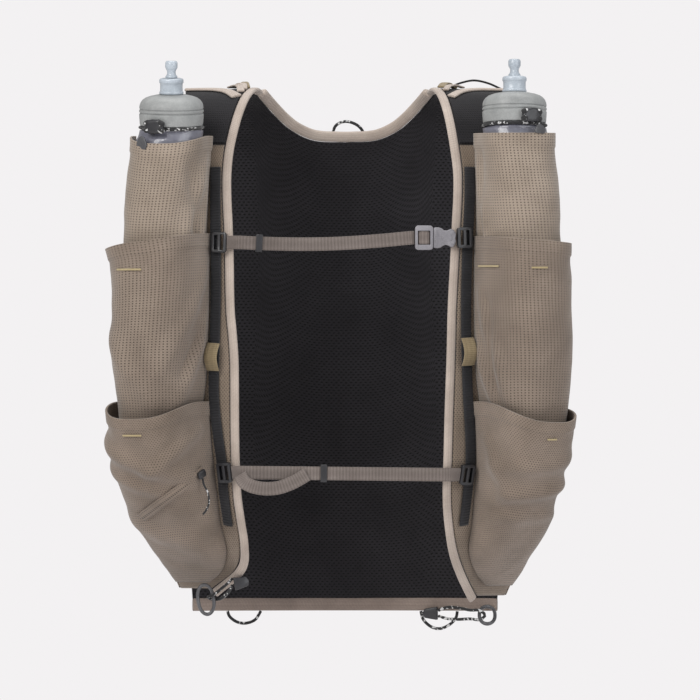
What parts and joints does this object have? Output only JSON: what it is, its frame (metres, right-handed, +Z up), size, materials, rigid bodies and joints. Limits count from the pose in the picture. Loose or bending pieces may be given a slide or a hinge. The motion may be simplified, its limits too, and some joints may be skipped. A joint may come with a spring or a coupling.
{
  "type": "running hydration vest with soft flasks",
  "caption": "Worn running hydration vest: mesh back, front panels with stacked pockets, chest straps, elastic cords, and a soft flask in each upper pocket.",
  "frame": {"origin": "on the wearer's shoulder line, midway between the shoulders, where the vest hangs from", "axes": "+Z up the wearer, -Y out of the chest, +X to the wearer's left, the right of the front view"},
  "size_m": [0.3727, 0.2372, 0.4451],
  "materials": {
    "back_mesh": "black spacer mesh with small staggered holes",
    "binding": "soft rolled knit binding",
    "stretch_mesh": "taupe ripstop stretch mesh",
    "stretch_mesh_dark": "taupe ripstop stretch mesh, doubled",
    "rail": "ribbed elastic rail",
    "webbing": "ribbed narrow webbing",
    "buckle": "grey moulded plastic",
    "black_plastic": "black moulded plastic",
    "grey_plastic": "dark grey moulded plastic",
    "cap": "grey moulded plastic",
    "valve": "pale clear silicone and plastic",
    "bottle": "thin translucent film",
    "cord": "black braid with pale flecks"
  },
  "bodies": {
    "vest": {"back_panel": "back_mesh", "hem_band": "binding", "neck_binding": "binding", "shoulder_yoke_left": "back_mesh", "front_panel_left": "stretch_mesh_dark", "side_panel_left": "stretch_mesh_dark", "flask_pocket_left": "stretch_mesh", "chest_pocket_left": "stretch_mesh", "lower_pocket_left": "stretch_mesh_dark", "front_binding_left": "binding", "rail_left": "rail", "shoulder_yoke_right": "back_mesh", "front_panel_right": "stretch_mesh_dark", "side_panel_right": "stretch_mesh_dark", "flask_pocket_right": "stretch_mesh", "chest_pocket_right": "stretch_mesh", "lower_pocket_right": "stretch_mesh_dark", "front_binding_right": "binding", "rail_right": "rail", "upper_hook_left": "black_plastic", "upper_hook_right": "black_plastic", "lower_hook_left": "black_plastic", "lower_hook_right": "black_plastic", "buckle_body": "buckle", "buckle_ladder": "buckle", "upper_strap": "webbing", "upper_keeper": "black_plastic", "lower_strap": "webbing", "lower_keeper": "black_plastic", "lower_strap_tail": "webbing", "webbing_tab_left": "webbing", "webbing_tab_right": "webbing", "shoulder_trim_left": "binding", "shoulder_trim_right": "binding", "shoulder_strip_right": "back_mesh", "zip_welt": "stretch_mesh", "zip_slider": "black_plastic", "flask_bottle_left": "bottle", "flask_elastic_left": "black_plastic", "flask_pull_left": "grey_plastic", "flask_bottle_right": "bottle", "flask_elastic_right": "black_plastic", "flask_pull_right": "grey_plastic", "cord_ring_left": "grey_plastic", "cord_tab_left": "black_plastic", "cord_ring_right": "grey_plastic", "cord_tab_right": "black_plastic", "hang_loop": "cord", "hem_loop_left": "cord", "hem_loop_right": "cord", "cinch_cord_left": "cord", "cinch_cord_right": "cord", "zip_pull": "cord"},
    "cap_left": {"flask_cap_left": "cap", "flask_valve_left": "valve", "flask_tip_left": "valve"},
    "cap_right": {"flask_cap_right": "cap", "flask_valve_right": "valve", "flask_tip_right": "valve"}
  },
  "joints": [
    {"name": "cap_left_turn", "type": "hinge", "parent": "vest", "child": "cap_left", "pos_m": [-0.13446, -0.09344, -0.03031], "axis": [0, -0.0872, 0.9962], "range_deg": [0, 360]},
    {"name": "cap_right_turn", "type": "hinge", "parent": "vest", "child": "cap_right", "pos_m": [0.13136, -0.09281, -0.02881], "axis": [0, 0.0872, 0.9962], "range_deg": [0, 360]}
  ]
}
